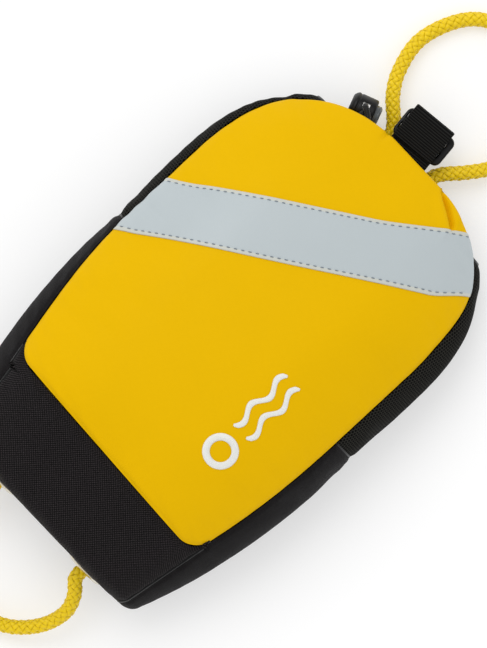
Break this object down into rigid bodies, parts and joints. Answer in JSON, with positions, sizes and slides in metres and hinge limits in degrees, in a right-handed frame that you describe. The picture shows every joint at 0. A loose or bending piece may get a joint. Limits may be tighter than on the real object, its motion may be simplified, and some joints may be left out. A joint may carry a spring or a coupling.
{
  "type": "throw rope bag",
  "caption": "Domed drawcord bag of coated fabric and mesh stuffed with floating rescue rope, with a hand loop at its mouth and a rope loop at its toe.",
  "frame": {"origin": "middle of the back panel's flat rest face, halfway between the toe end and the tip of the mouth", "axes": "+Z out of the front panel, +Y from the toe end to the mouth, +X to the right seen from the front"},
  "size_m": [0.14, 0.3389, 0.0599],
  "materials": {
    "coated_fabric": "smooth yellow coated cloth, satin",
    "toe_cloth": "coarse black woven nylon",
    "side_cloth": "smooth black woven nylon",
    "side_mesh": "open black knitted mesh",
    "reflective_tape": "grey-white retroreflective tape with a fine bead surface",
    "embroidery": "white satin-stitch thread",
    "cord": "black braided cord",
    "webbing": "black ribbed webbing",
    "black_plastic": "moulded, slightly glossy",
    "grey_plastic": "moulded, glossy",
    "nickel": "pale nickel plate",
    "spring_steel": "drawn wire",
    "foam": "closed-cell foam, matt",
    "rope": "yellow diamond-braid floating rope, slight sheen"
  },
  "bodies": {
    "bag": {"front_panel": "coated_fabric", "toe_panel": "toe_cloth", "bottom_panel": "toe_cloth", "back_panel": "side_cloth", "left_gusset_fabric": "side_cloth", "right_gusset_fabric": "side_cloth", "left_gusset_mesh": "side_mesh", "right_gusset_mesh": "side_mesh", "front_hem": "coated_fabric", "back_hem": "side_cloth", "reflective_tape": "reflective_tape", "embroidered_ring": "embroidery", "embroidered_wave_left": "embroidery", "embroidered_wave_right": "embroidery", "drawcord": "cord", "drawcord_knot": "cord", "webbing_anchor": "webbing", "left_eyelet": "nickel", "right_eyelet": "nickel", "left_washer": "nickel", "right_washer": "nickel", "left_loop_leg": "rope", "right_loop_leg": "rope", "left_stopper_knot": "rope", "right_stopper_knot": "rope", "tie_in_knot": "rope", "rope_pile": "rope", "flotation_foam": "foam"},
    "bottom_loop": {"bottom_loop": "rope"},
    "rope_leader": {"left_leader": "rope", "right_leader": "rope", "hand_loop_knot": "rope"},
    "hand_loop": {"hand_loop": "rope"},
    "cord_lock": {"cord_lock_barrel": "black_plastic", "cord_lock_spring": "spring_steel"},
    "cord_plunger": {"cord_lock_plunger": "grey_plastic"},
    "closure_buckle": {"ladder_lock": "black_plastic", "buckle_webbing": "webbing"},
    "strap_tail": {"tail_webbing": "webbing", "tail_tab": "webbing"}
  },
  "joints": [
    {"name": "bottom_loop_swing", "type": "hinge", "parent": "bag", "child": "bottom_loop", "pos_m": [0.00165, -0.114, 0.02], "axis": [-1, 0, 0], "range_deg": [-3, 100]},
    {"name": "rope_payout", "type": "slide", "parent": "bag", "child": "rope_leader", "axis": [0, 1, 0], "range_m": [0, 0.03]},
    {"name": "hand_loop_swing", "type": "hinge", "parent": "rope_leader", "child": "hand_loop", "pos_m": [-0.0051, 0.1205, 0.008], "axis": [1, 0, 0], "range_deg": [0, 75]},
    {"name": "cord_lock_slide", "type": "slide", "parent": "bag", "child": "cord_lock", "axis": [0, 0, -1], "range_m": [0, 0.005]},
    {"name": "plunger_press", "type": "slide", "parent": "cord_lock", "child": "cord_plunger", "axis": [-0.9272, -0.3746, 0], "range_m": [0, 0.0015], "stiffness_N_per_m": 1500, "springref_m": -0.003},
    {"name": "buckle_swing", "type": "hinge", "parent": "bag", "child": "closure_buckle", "pos_m": [-0.0056, 0.1095, 0.0206], "axis": [0.9925, 0.1219, 0], "range_deg": [0, 50]},
    {"name": "tail_slide", "type": "slide", "parent": "closure_buckle", "child": "strap_tail", "axis": [-0.1219, 0.9925, 0], "range_m": [0, 0.008]}
  ]
}
